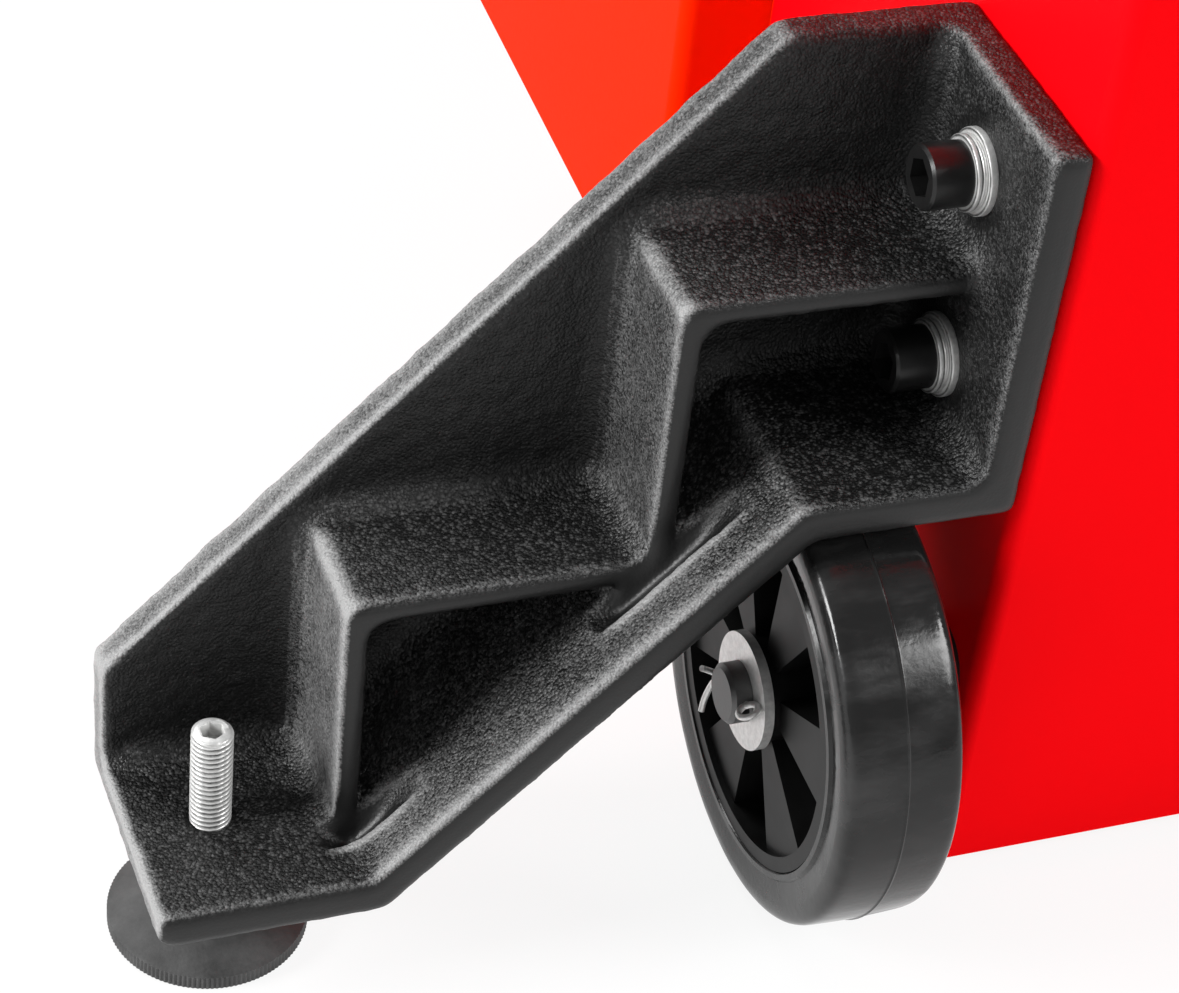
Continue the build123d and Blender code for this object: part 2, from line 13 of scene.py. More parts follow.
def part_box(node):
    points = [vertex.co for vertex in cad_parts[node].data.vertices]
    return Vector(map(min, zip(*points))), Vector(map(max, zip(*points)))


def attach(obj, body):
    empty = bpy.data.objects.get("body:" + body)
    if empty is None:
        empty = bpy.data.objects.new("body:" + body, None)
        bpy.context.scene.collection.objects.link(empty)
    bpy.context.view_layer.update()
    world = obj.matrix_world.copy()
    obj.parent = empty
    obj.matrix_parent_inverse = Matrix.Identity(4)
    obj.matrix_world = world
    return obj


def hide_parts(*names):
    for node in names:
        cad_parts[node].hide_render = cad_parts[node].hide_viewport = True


bl_info = {
    "name": "Jack Base Looks",
    "version": (1, 0, 0),
    "blender": (4, 5, 0),
    "location": "3D View > Sidebar > Jack Base",
    "description": "Builds the finishes and fine pieces of a wheeled jack base around its frame",
    "category": "Object",
}

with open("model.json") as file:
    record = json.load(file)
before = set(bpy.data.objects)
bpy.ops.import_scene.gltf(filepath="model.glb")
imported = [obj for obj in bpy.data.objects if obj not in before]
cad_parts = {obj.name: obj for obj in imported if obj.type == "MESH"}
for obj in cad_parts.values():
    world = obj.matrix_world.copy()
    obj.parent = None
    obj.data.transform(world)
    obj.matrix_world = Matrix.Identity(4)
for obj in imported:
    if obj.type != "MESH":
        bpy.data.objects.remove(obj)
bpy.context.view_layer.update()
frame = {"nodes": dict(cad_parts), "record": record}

SIDES = {"left": -1.0, "right": 1.0}
MM = 0.001
BLACK = (0.0, 0.0, 0.0)

# Places of the colour sockets on a Mix node
MIX_FIRST = 6
MIX_SECOND = 7
MIX_RESULT = 2

# Ribs of the castings: their distance behind the front, and the reach of their feet from the stud
RIB_SETBACK = 24.0 * MM
RIB_FEET = ((26.0 * MM, 56.0 * MM), (102.0 * MM, 143.0 * MM))

# Lumps of the castings' skin: their sizes and random seeds
SWELL_SIZE = 9.0 * MM
SWELL_SEED = 5
PEBBLE_SIZE = 2.6 * MM
PEBBLE_SEED = 6

# Levelling stud: the band at its top kept free of painted shade, the painted shade in its socket deeper than
# its thread, and its hole in the foot
UNSHADED_TOP = 1.5 * MM
SOCKET_DEPTH = 1.2
SOCKET_SHADE = 0.4
FOOT_BORE = 6.1 * MM

# Tyre: the gap between it and its hub
TYRE_GAP = 0.05 * MM

# Washers under the bolt heads: their bore, how deep the painted shade at the rim reaches in groove depths,
# and the split washer's gap and the gap's start from the back, both in degrees
WASHER_BORE = 6.5 * MM
RIM_DEPTH = 2.0
SPRING_GAP = 6.0
SPRING_GAP_START = 5.0

# Facets round each turned piece, and the angle in degrees past which an edge is sharp
STUD_SIDES = 48
WASHER_SIDES = 96
TYRE_SIDES = 240
KNURL_STEPS = 6
SHARP_ANGLE = 35.0
THREAD_SHARP_ANGLE = 40.0

# Stage: the lamps' places in metres, sizes and watts, the place they point at, the floor and the surroundings
LAMPS = {
    "key_left": ((-2.2, -0.05, 1.0), 0.8, 60.0),
    "fill_right": ((1.3, -1.4, 1.5), 0.8, 33.0),
    "rim_back": ((-0.9, 1.3, 1.9), 1.0, 22.0),
}
LAMP_AIM = (-0.15, -0.1, 0.15)
FLOOR_SIZE = 60.0
FLOOR_WHITE = 0.88
FLOOR_COLOUR = (0.93, 0.93, 0.93)
FLOOR_ROUGHNESS = 0.9
WORLD_STRENGTH = 0.34

# Camera found for the photograph
SENSOR_WIDTH = 36.0
CAMERA_PLACE = (-0.49816, -0.75214, 0.66723)
CAMERA_AZIMUTH = 23.43
CAMERA_ELEVATION = 38.69
CAMERA_ROLL = 7.03
CAMERA_LENS = 94.36


def length(name, description, millimetres):
    """A length property, kept in metres."""
    metres = millimetres * MM
    return FloatProperty(name=name, description=description, default=metres, unit="LENGTH", precision=5)


def colour(name, description, rgb):
    """A colour property."""
    return FloatVectorProperty(name=name, description=description, default=rgb, subtype="COLOR", min=0, max=1)


def shade(rgb, factor):
    """A colour made darker or lighter by a factor."""
    return tuple(value * factor for value in rgb)


def paler(rgb, amount):
    """A colour with a little white added."""
    return tuple(value + amount for value in rgb)


class JackBaseSizes(bpy.types.PropertyGroup):
    """Sizes of the fine detail that the frame leaves plain."""

    thread_pitch: length("Thread pitch", "Rise of the levelling thread in one turn", 1.75)
    thread_depth: length("Thread depth", "Height of the thread from root to crest", 1.0)
    stud_socket: length("Stud socket", "Width across the flats of the stud's key socket", 6.0)
    knurl_count: IntProperty(name="Knurl count", description="Grooves on the foot's rim", default=132, min=8)
    knurl_depth: length("Knurl depth", "Depth of the grooves on the foot's rim", 0.45)
    mould_line: length("Mould line", "Distance of the tread's mould line from the outer face", 17.5)
    mould_ridge: length("Mould ridge", "Height of the tread's mould line", 0.35)
    cast_grain: length("Cast grain", "Mesh size of the casting's soft skin", 1.4)
    dress_width: length("Dressing width", "Width of the cut in front of the ribs' feet", 8.0)
    dress_depth: length("Dressing depth", "Depth of the cut in front of the ribs' feet", 5.2)
    cast_swell: length("Cast swell", "Height of the casting's broad lumps", 0.7)
    cast_pebble: length("Cast pebble", "Height of the casting's small lumps", 0.4)
    cast_skin: length("Cast skin", "Thickness of the casting's paint", 0.2)
    washer_corner: length("Washer corner", "Rounding of the bolt washers' rims", 0.5)
    washer_groove: length("Washer groove", "Depth of the groove round the split washers' rims", 0.4)
    pin_wire: length("Pin wire", "Radius of the split pin's half-round wire", 0.95)


class JackBaseColours(bpy.types.PropertyGroup):
    """Colours of the finishes."""

    red: colour("Front red", "Powder coat of the front shell", (0.95, 0.0015, 0.0045))
    # The rear red's extra orange is painted light: the key lamp's strong light on the rear shell.
    rear_red_lit: colour("Rear red", "Powder coat of the rear shell", (0.90, 0.017, 0.0))
    casting: colour("Casting black", "Paint in the hollows of the castings", (0.004, 0.004, 0.004))
    # The grain colour's pale specks also serve as painted glints on faces that look up.
    grain: colour("Casting grain", "Paint on the tops of the castings' grain", (0.084, 0.084, 0.084))
    ground: colour("Ground face", "Paint on the castings' smooth ground faces", (0.006, 0.006, 0.006))
    # The worn colour also serves as painted highlight on edges and risers that face up and outwards.
    worn: colour("Worn edge", "Paint rubbed thin on the castings' edges", (0.28, 0.28, 0.28))
    zinc: colour("Zinc", "Bright plating of stud, washers and pins", (0.84, 0.84, 0.83))
    steel: colour("Steel", "Dull turned steel of the axle", (0.10, 0.10, 0.10))
    bolt: colour("Bolt black", "Black oxide of the bolts", (0.004, 0.004, 0.004))
    rubber: colour("Rubber", "Solid tyres", (0.010, 0.010, 0.010))
    hub: colour("Hub plastic", "Moulded wheel hubs", (0.004, 0.004, 0.004))
    foot: colour("Foot plastic", "Moulded feet and glides", (0.024, 0.024, 0.024))
    bronze: colour("Bronze", "Bushes in the hubs", (0.40, 0.24, 0.10))


class Field:
    """One output socket of a paint, with Python's operators adding Math nodes."""

    def __init__(self, paint, socket):
        self.paint = paint
        self.socket = socket

    def math(self, operation, first, second):
        """A Math node of two values or fields."""
        return self.paint.node("ShaderNodeMath", {"operation": operation}, {0: first, 1: second})

    def __add__(self, other):
        return self.math("ADD", self, other)

    def __radd__(self, other):
        return self.math("ADD", other, self)

    def __sub__(self, other):
        return self.math("SUBTRACT", self, other)

    def __rsub__(self, other):
        return self.math("SUBTRACT", other, self)

    def __mul__(self, other):
        return self.math("MULTIPLY", self, other)

    def __rmul__(self, other):
        return self.math("MULTIPLY", other, self)

    def between(self, low, high):
        """Nought at low, one at high, held at both ends."""
        sockets = {"Value": self, "From Min": low, "From Max": high}
        return self.paint.node("ShaderNodeMapRange", {"clamp": True}, sockets)


class Paint:
    """A material built from a Principled shader and a few procedural fields."""

    def __init__(self, name):
        self.material = bpy.data.materials.new(name)
        self.material.use_nodes = True
        self.tree = self.material.node_tree
        self.shader = self.tree.nodes["Principled BSDF"]

    def node(self, kind, settings=None, sockets=None, output=0):
        """Add a node: its settings first, then the values or links of its sockets."""
        made = self.tree.nodes.new(kind)
        for key, value in (settings or {}).items():
            setattr(made, key, value)
        for key, value in (sockets or {}).items():
            self.feed(made.inputs[key], value)
        return Field(self, made.outputs[output])

    def feed(self, socket, value):
        """Link a field to a socket, or set the socket's value."""
        if isinstance(value, Field):
            self.tree.links.new(value.socket, socket)
        else:
            socket.default_value = value

    def layer(self, name):
        """A mesh layer's value, nought where the mesh has no such layer."""
        return self.node("ShaderNodeAttribute", {"attribute_name": name}, None, "Fac")

    def place(self, stretch=(1.0, 1.0, 1.0)):
        """Object coordinates in metres, scaled along each axis."""
        coordinates = self.node("ShaderNodeTexCoord", output="Object")
        return self.node("ShaderNodeMapping", None, {"Vector": coordinates, "Scale": stretch})

    def noise(self, scale, detail, roughness, stretch=(1.0, 1.0, 1.0)):
        """Cloudy noise from nought to one, with the scale in waves to a metre."""
        sockets = {"Vector": self.place(stretch), "Scale": scale, "Detail": detail, "Roughness": roughness}
        return self.node("ShaderNodeTexNoise", None, sockets)

    def cells(self, scale, output):
        """Rounded cells: the distance from a cell's middle, or a random shade for each cell."""
        sockets = {"Vector": self.place(), "Scale": scale}
        return self.node("ShaderNodeTexVoronoi", {"feature": "F1"}, sockets, output)

    def mix(self, factor, first, second):
        """Blend two colours."""
        first, second = (part if isinstance(part, Field) else (*part, 1.0) for part in (first, second))
        sockets = {"Factor": factor, MIX_FIRST: first, MIX_SECOND: second}
        return self.node("ShaderNodeMix", {"data_type": "RGBA"}, sockets, MIX_RESULT)

    def bump(self, height, strength, distance):
        """Normals tilted by a height field. The distance is in metres."""
        sockets = {"Height": height, "Strength": strength, "Distance": distance}
        return self.node("ShaderNodeBump", None, sockets)

    def finish(self, **sockets):
        """Set the shader's sockets, named with underscores for spaces, and return the material."""
        for key, value in sockets.items():
            name = key.replace("_", " ")
            if name == "Base Color" and not isinstance(value, Field):
                value = (*value, 1.0)
            self.feed(self.shader.inputs[name], value)
        return self.material


def cast_paint(paint, colours):
    """Black paint over a sand casting: pebbled grain, pale specks that also serve as painted glints on faces
    that look up, grey rubbed edges with painted highlight, smooth ground faces.
    """
    pebble_scale = 1050.0
    pebble = 1.0 - paint.cells(scale=pebble_scale, output="Distance")
    sparkle = paint.cells(scale=pebble_scale, output="Color")
    grain = paint.noise(scale=1700.0, detail=2.0, roughness=0.6)
    patches = paint.noise(scale=45.0, detail=3.0, roughness=0.6)
    edge = paint.layer("edge")
    ground = paint.layer("ground")
    top_glints = paint.layer("top_glints")
    rough = 1.0 - ground * 0.85
    blotch = (patches - 0.5) * 0.3 + (grain - 0.5) * 1.1 + (sparkle - 0.5) * 0.25
    # Rubbed edges: partly real wear, partly painted highlight on edges that face up and outwards.
    rub_and_highlight = (edge + blotch * edge.between(0.0, 0.3)).between(0.12, 0.90)
    # Pale specks, weighted towards faces that look up as painted glints.
    speck_glint = (pebble * 0.45 + sparkle * 0.55).between(0.50, 0.85) * rough * top_glints
    base = paint.mix(speck_glint, colours.casting, colours.grain)
    base = paint.mix(ground, base, colours.ground)
    base = paint.mix(rub_and_highlight, base, colours.worn)
    height = (pebble * 0.6 + sparkle * 0.2 + grain * 0.5) * rough * (0.4 + top_glints * 0.6)
    normal = paint.bump(height, strength=0.9, distance=0.0007)
    gloss = 0.34 + grain * 0.16
    return paint.finish(Base_Color=base, Roughness=gloss, Normal=normal, Specular_IOR_Level=0.42)


def red_paint(paint, colours):
    """Powder coat with a soft sheen and a faint orange peel; the rear shell is painted more orange to stand
    for the key lamp's strong light on it.
    """
    peel = paint.noise(scale=420.0, detail=2.0, roughness=0.5)
    drift = paint.noise(scale=9.0, detail=2.0, roughness=0.5)
    across = paint.node("ShaderNodeSeparateXYZ", None, {0: paint.place()}, "Y")
    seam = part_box("rear_shell")[0][1]
    # The rear shell gets the more orange red, painted light from the key lamp.
    base = paint.mix(across.between(seam - MM, seam), colours.red, colours.rear_red_lit)
    base = paint.mix(0.08 * drift, base, BLACK)
    normal = paint.bump(peel, strength=0.08, distance=0.0004)
    gloss = 0.38 + peel * 0.08
    return paint.finish(Base_Color=base, Roughness=gloss, Normal=normal, Specular_IOR_Level=0.01)


def zinc_paint(paint, colours):
    """Bright zinc plate with fine cloudy variation, and painted shade in the roots of threads, the key socket
    and the washers' rim grooves.
    """
    cloud = paint.noise(scale=520.0, detail=3.0, roughness=0.6)
    crevice_shade = paint.layer("crevice_shade")
    dull = shade(colours.zinc, 0.75)
    dark = shade(colours.zinc, 0.12)
    base = paint.mix(cloud.between(0.30, 0.70), dull, colours.zinc)
    # Painted shade: the zinc darkens in thread roots, the key socket and the washers' rim grooves.
    shade_mix = crevice_shade + (cloud - 0.5) * 1.2 * crevice_shade.between(0.0, 0.2)
    base = paint.mix(shade_mix.between(0.06, 0.92), base, dark)
    normal = paint.bump(cloud, strength=0.15, distance=0.0002)
    return paint.finish(Base_Color=base, Metallic=0.6, Roughness=0.30 + cloud * 0.16, Normal=normal)


def steel_paint(paint, colours):
    """Dull steel with a cloudy sheen."""
    cloud = paint.noise(scale=500.0, detail=4.0, roughness=0.6)
    bright = shade(colours.steel, 1.8)
    base = paint.mix(cloud, colours.steel, bright)
    normal = paint.bump(cloud, strength=0.3, distance=0.0002)
    return paint.finish(Base_Color=base, Metallic=0.9, Roughness=0.38 + cloud * 0.2, Normal=normal)


def bolt_paint(paint, colours):
    """Oily black oxide."""
    cloud = paint.noise(scale=300.0, detail=3.0, roughness=0.6)
    pale = paler(colours.bolt, 0.008)
    base = paint.mix(cloud, colours.bolt, pale)
    normal = paint.bump(cloud, strength=0.08, distance=0.0002)
    gloss = 0.24 + cloud * 0.12
    return paint.finish(Base_Color=base, Roughness=gloss, Normal=normal, Specular_IOR_Level=0.35)


def tube_paint(paint, colours):
    """Black painted tube."""
    cloud = paint.noise(scale=200.0, detail=3.0, roughness=0.6)
    pale = paler(colours.bolt, 0.015)
    base = paint.mix(cloud, colours.bolt, pale)
    return paint.finish(Base_Color=base, Roughness=0.34 + cloud * 0.12)


def rubber_paint(paint, colours):
    """Smooth moulded rubber with handling streaks across the tread."""
    streak = paint.noise(scale=60.0, detail=4.0, roughness=0.65, stretch=(0.35, 1.0, 1.0))
    fine = paint.noise(scale=700.0, detail=2.0, roughness=0.5)
    grey = paler(colours.rubber, 0.020)
    base = paint.mix(streak.between(0.45, 0.75), colours.rubber, grey)
    normal = paint.bump(streak + fine * 0.2, strength=0.22, distance=0.0008)
    gloss = streak.between(0.35, 0.65) * 0.26 + 0.08
    return paint.finish(Base_Color=base, Roughness=gloss, Normal=normal, Specular_IOR_Level=0.34)


def hub_paint(paint, colours):
    """Moulded black plastic with a soft sheen."""
    cloud = paint.noise(scale=140.0, detail=2.0, roughness=0.5)
    pale = paler(colours.hub, 0.008)
    base = paint.mix(cloud, colours.hub, pale)
    normal = paint.bump(cloud, strength=0.04, distance=0.0004)
    gloss = 0.36 + cloud * 0.12
    return paint.finish(Base_Color=base, Roughness=gloss, Normal=normal, Specular_IOR_Level=0.15)


def foot_paint(paint, colours):
    """Matt moulded plastic with a fine grain."""
    grain = paint.noise(scale=1100.0, detail=2.0, roughness=0.6)
    blotch = paint.noise(scale=70.0, detail=4.0, roughness=0.6)
    pale = paler(colours.foot, 0.07)
    base = paint.mix(grain * 0.4 + blotch.between(0.35, 0.65) * 0.6, colours.foot, pale)
    normal = paint.bump(grain, strength=0.2, distance=0.0003)
    return paint.finish(Base_Color=base, Roughness=0.50 + grain * 0.15, Normal=normal)


def bronze_paint(paint, colours):
    """Sintered bronze."""
    grain = paint.noise(scale=900.0, detail=2.0, roughness=0.6)
    dark = shade(colours.bronze, 0.6)
    base = paint.mix(grain, dark, colours.bronze)
    return paint.finish(Base_Color=base, Metallic=1.0, Roughness=0.35 + grain * 0.2)


FINISHES = {
    "cast_black": cast_paint,
    "red_paint": red_paint,
    "zinc": zinc_paint,
    "raw_steel": steel_paint,
    "black_bolt": bolt_paint,
    "black_steel": tube_paint,
    "tyre_rubber": rubber_paint,
    "hub_plastic": hub_paint,
    "foot_plastic": foot_paint,
    "bush_bronze": bronze_paint,
}


def material(slot):
    """The finish of a material slot, made once."""
    name = f"{slot}_finish"
    made = bpy.data.materials.get(name)
    return made or FINISHES[slot](Paint(name), bpy.context.scene.jack_base_colours)


def middle(node):
    """Centre of a node's box."""
    low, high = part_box(node)
    return (np.array(low) + np.array(high)) / 2


def add_piece(name, mesh, body, slot, node):
    """Put a finished mesh in the scene in place of a plain node, riding on its body."""
    piece = bpy.data.objects.new(name, mesh)
    bpy.context.scene.collection.objects.link(piece)
    mesh.materials.clear()
    mesh.materials.append(material(slot))
    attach(piece, body)
    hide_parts(node)
    return piece


def tidy_normals(mesh):
    """Merge doubled points and turn every face outwards."""
    doubled = 1e-7
    work = bmesh.new()
    work.from_mesh(mesh)
    bmesh.ops.remove_doubles(work, verts=work.verts, dist=doubled)
    bmesh.ops.recalc_face_normals(work, faces=work.faces)
    work.to_mesh(mesh)
    work.free()


def ring_surface(name, points, wrap, sharp_degrees=SHARP_ANGLE):
    """Skin a grid of rings, shape (rings, points, 3). Its ends close on poles, or wrap onto each other."""
    rings, count, _ = points.shape
    ring = np.arange(rings if wrap else rings - 1)[:, None]
    spot = np.arange(count)[None, :]
    after = (ring + 1) % rings
    beside = (spot + 1) % count
    corners = [ring * count + spot, ring * count + beside, after * count + beside, after * count + spot]
    quads = np.stack(corners, -1)
    vertices = points.reshape(-1, 3)
    faces = quads.reshape(-1, 4).tolist()
    if not wrap:
        poles = np.stack([points[0].mean(0), points[-1].mean(0)])
        first = len(vertices)
        turn = np.arange(count)
        step = (turn + 1) % count
        last_ring = (rings - 1) * count
        faces += np.stack([np.full(count, first), step, turn], -1).tolist()
        faces += np.stack([np.full(count, first + 1), last_ring + turn, last_ring + step], -1).tolist()
        vertices = np.concatenate([vertices, poles])
    mesh = bpy.data.meshes.new(name)
    mesh.from_pydata(vertices.tolist(), [], faces)
    tidy_normals(mesh)
    mesh.shade_smooth()
    mesh.set_sharp_from_angle(angle=math.radians(sharp_degrees))
    return mesh


def turned(profile_radius, profile_height, angles):
    """Rings of a turned shape about Z: radius and height arrays that may vary round each ring."""
    radius = np.broadcast_to(profile_radius, (len(profile_radius), len(angles)))
    height = np.broadcast_to(profile_height, (len(profile_height), len(angles)))
    return np.stack([radius * np.cos(angles), radius * np.sin(angles), height], -1)


def circle_angles(count):
    """Even angles round a circle, from nought."""
    return np.linspace(0.0, 2.0 * math.pi, count, endpoint=False)


def ramp(values, nought, one):
    """Nought at the first level, one at the second, held at both ends."""
    return np.clip((values - nought) / (one - nought), 0.0, 1.0)


def hexagon_radius(flats, angles):
    """Distance from the middle to a hexagon's outline at each angle."""
    sector = math.pi / 3.0
    return flats / 2.0 / np.cos((angles + sector / 2.0) % sector - sector / 2.0)


def thread_points(radius, low, high, sizes, angles):
    """Threaded bar about Z: a trapezoid wave over height and angle cut into it, and a socket in its top."""
    chamfer = 0.9 * MM
    socket_chamfer = 0.3 * MM
    socket_flare = 1.06
    socket_floor = high - 5.0 * MM
    per_turn = 12
    flank_slope = 3.2
    crest = 0.35
    top_inset = 1.35
    rows = int((high - low) / sizes.thread_pitch * per_turn)
    height = np.linspace(low, high - chamfer * 0.4, rows)[:, None]
    phase = (height / sizes.thread_pitch - angles[None, :] / (2.0 * math.pi)) % 1.0
    flank = np.clip(np.abs(phase - 0.5) * flank_slope - crest, 0.0, 1.0)
    taper = ramp(height, high - chamfer, high)
    thread = np.minimum(radius - sizes.thread_depth * flank, radius - taper * sizes.thread_depth)
    socket = hexagon_radius(sizes.stud_socket, angles)
    top_radius = radius - top_inset * sizes.thread_depth
    round_ring = np.ones((1, len(angles)))
    radii = np.concatenate([
        round_ring * (radius - sizes.thread_depth), thread, round_ring * top_radius,
        (socket * socket_flare)[None], socket[None], socket[None]])
    heights = np.concatenate([
        round_ring * low, np.broadcast_to(height, thread.shape), round_ring * high,
        round_ring * high, round_ring * (high - socket_chamfer), round_ring * socket_floor])
    return turned(radii, heights, angles)


def foot_points(low, high, outer, sizes, angles, bore):
    """Turned foot with an upright grooved rim, a coned top, a neck and the stud's blind hole.

    Each row is a radius, the share of the groove cut into it and a height, from the sole to the hole's floor.
    """
    rim_top = low + 5.2 * MM
    neck = 11.0 * MM
    cone_top = high - 3.0 * MM
    hole_floor = low + 4.0 * MM
    rows = (
        (outer - 0.9 * MM, 0.0, low),
        (outer, 0.5, low + 0.5 * MM),
        (outer, 1.0, low + 0.9 * MM),
        (outer, 1.0, rim_top - 0.8 * MM),
        (outer, 0.5, rim_top - 0.3 * MM),
        (outer - 1.0 * MM, 0.0, rim_top),
        (outer - 1.8 * MM, 0.0, rim_top + 0.2 * MM),
        (neck + 1.5 * MM, 0.0, cone_top - 0.3 * MM),
        (neck + 0.3 * MM, 0.0, cone_top + 0.6 * MM),
        (neck, 0.0, cone_top + 1.2 * MM),
        (neck, 0.0, high - 0.6 * MM),
        (neck - 0.6 * MM, 0.0, high),
        (bore, 0.0, high),
        (bore, 0.0, hole_floor),
    )
    radius, share, height = np.array(rows).T[:, :, None]
    groove = sizes.knurl_depth * (0.5 - 0.5 * np.cos(angles * sizes.knurl_count))
    return turned(radius - share * groove, height, angles)


def tyre_profile(bore, outer, width, sizes):
    """Section of the tyre as (along the axle, radius).

    The tread slopes both ways from its mould line. Its shoulders follow
    r = outer - drop * (1 - sqrt(1 - t^n)), with t from -1 to 1 across the width and n the shoulders' power.
    """
    drop = 6.0 * MM
    slope = 0.035
    power = 14
    steps = 241
    lip = 2.2 * MM
    ridge_width = 0.25 * MM
    turn = np.sin(np.radians(np.linspace(-90.0, 90.0, steps)))
    along = (1.0 + turn) * width / 2
    ridge = np.exp(-(((along - sizes.mould_line) / ridge_width) ** 2))
    fall = slope * np.abs(along - sizes.mould_line) + drop * (1.0 - np.sqrt(1.0 - turn**power))
    tread = np.stack([along, outer - fall + sizes.mould_ridge * (ridge - 1.0)], -1)
    inner_near = np.array([(0.8 * MM, bore), (0.0, bore + 0.5 * MM), (0.0, bore + lip),
                           (0.9 * MM, bore + lip + 0.8 * MM), (0.5 * MM, bore + 6.0 * MM)])
    inner_far = inner_near[::-1] * (-1.0, 1.0) + (width, 0.0)
    return np.concatenate([inner_near, tread, inner_far])


def axle_rings(profile, angles, centre, outward):
    """Turn a (along, radius) section about an axle along X. Along counts inwards from the outer face."""
    along = profile[:, 0][:, None] * np.ones(len(angles))
    radius = profile[:, 1][:, None]
    return np.stack([centre[0] - outward * along, centre[1] + radius * np.cos(angles),
                     centre[2] + radius * np.sin(angles)], -1)


def tube_points(path, radius, side, count=14):
    """Carry a circle along a path. Each ring is square to the path, with one axis near the side vector."""
    along = np.gradient(path, axis=0)
    along /= np.linalg.norm(along, axis=1, keepdims=True)
    across = np.cross(along, side)
    across /= np.linalg.norm(across, axis=1, keepdims=True)
    normal = np.cross(across, along)
    turn = circle_angles(count)[None, :, None]
    return path[:, None, :] + radius * (np.cos(turn) * across[:, None, :] + np.sin(turn) * normal[:, None, :])


def read_rows(items, name, width, kind):
    """Values of a mesh layer as rows."""
    values = np.empty(len(items) * width, dtype=kind)
    items.foreach_get(name, values)
    return values.reshape(-1, width)


class Skin:
    """Points of a mesh that can be averaged over their neighbours."""

    def __init__(self, mesh):
        edges = read_rows(mesh.edges, "vertices", 2, np.int64)
        self.here = np.concatenate([edges[:, 0], edges[:, 1]])
        self.there = np.concatenate([edges[:, 1], edges[:, 0]])
        self.links = np.maximum(np.bincount(self.here, minlength=len(mesh.vertices)), 1)

    def mean(self, values):
        """Mean of each point's neighbours along the mesh's edges."""
        sums = [np.bincount(self.here, column[self.there], len(self.links)) for column in values.T]
        return np.stack(sums, -1) / self.links[:, None]

    def smooth(self, values, passes):
        """Half-way steps towards the neighbours' mean."""
        for _ in range(passes):
            values = (values + self.mean(values)) / 2
        return values


def lumps(points, size, seed):
    """Smooth noise from -0.5 to 0.5: random values on a lattice of the given size, blended by 3t^2 - 2t^3."""
    count = 32
    table = np.random.default_rng(seed).random((count, count, count))
    cell = np.floor(points / size)
    part = points / size - cell
    blend = part * part * (3.0 - 2.0 * part)
    total = np.zeros(len(points))
    for corner in np.ndindex(2, 2, 2):
        spot = (cell.astype(np.int64) + corner) % count
        weight = np.where(corner, blend, 1.0 - blend).prod(1)
        total += weight * table[spot[:, 0], spot[:, 1], spot[:, 2]]
    return total - 0.5


def even_skin(source, size):
    """Copy of a node's mesh, skinned again at an even mesh size."""
    doubled = 1e-6
    mesh = source.data.copy()
    work = bmesh.new()
    work.from_mesh(mesh)
    bmesh.ops.remove_doubles(work, verts=work.verts, dist=doubled)
    work.to_mesh(mesh)
    work.free()
    holder = bpy.data.objects.new("casting_copy", mesh)
    bpy.context.scene.collection.objects.link(holder)
    skin = holder.modifiers.new("skin", "REMESH")
    skin.mode = "VOXEL"
    skin.voxel_size = size
    evaluated = holder.evaluated_get(bpy.context.evaluated_depsgraph_get())
    soft = bpy.data.meshes.new_from_object(evaluated)
    bpy.data.objects.remove(holder)
    return soft


def store_layer(mesh, name, values):
    """Keep a value for each point of a mesh, for a finish to read."""
    layer = mesh.attributes.new(name, "FLOAT", "POINT")
    layer.data.foreach_set("value", values.astype(np.float32))


def place_points(mesh, points):
    """Move a mesh's points and return its new normals."""
    mesh.vertices.foreach_set("co", points.ravel())
    mesh.update()
    return read_rows(mesh.vertices, "normal", 3, np.float64)


def clear_of_holes(points, side):
    """One away from the stud's and bolts' holes, nought at them."""
    stud_margin = 10.0 * MM
    bolt_depth = 15.0 * MM
    fade = 5.0 * MM
    stud = middle(f"{side}_level_stud")
    low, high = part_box(f"{side}_flat_washers")
    rim = (high[1] - low[1]) / 2
    reach = [np.hypot(*(points - stud)[:, :2].T) - stud_margin]
    for height in (low[2] + rim, high[2] - rim):
        beside = np.hypot(points[:, 1] - low[1] - rim, points[:, 2] - height) - rim
        reach.append(np.maximum(beside, np.abs(points[:, 0] - low[0]) - bolt_depth))
    return ramp(np.min(reach, axis=0), 0.0, fade)


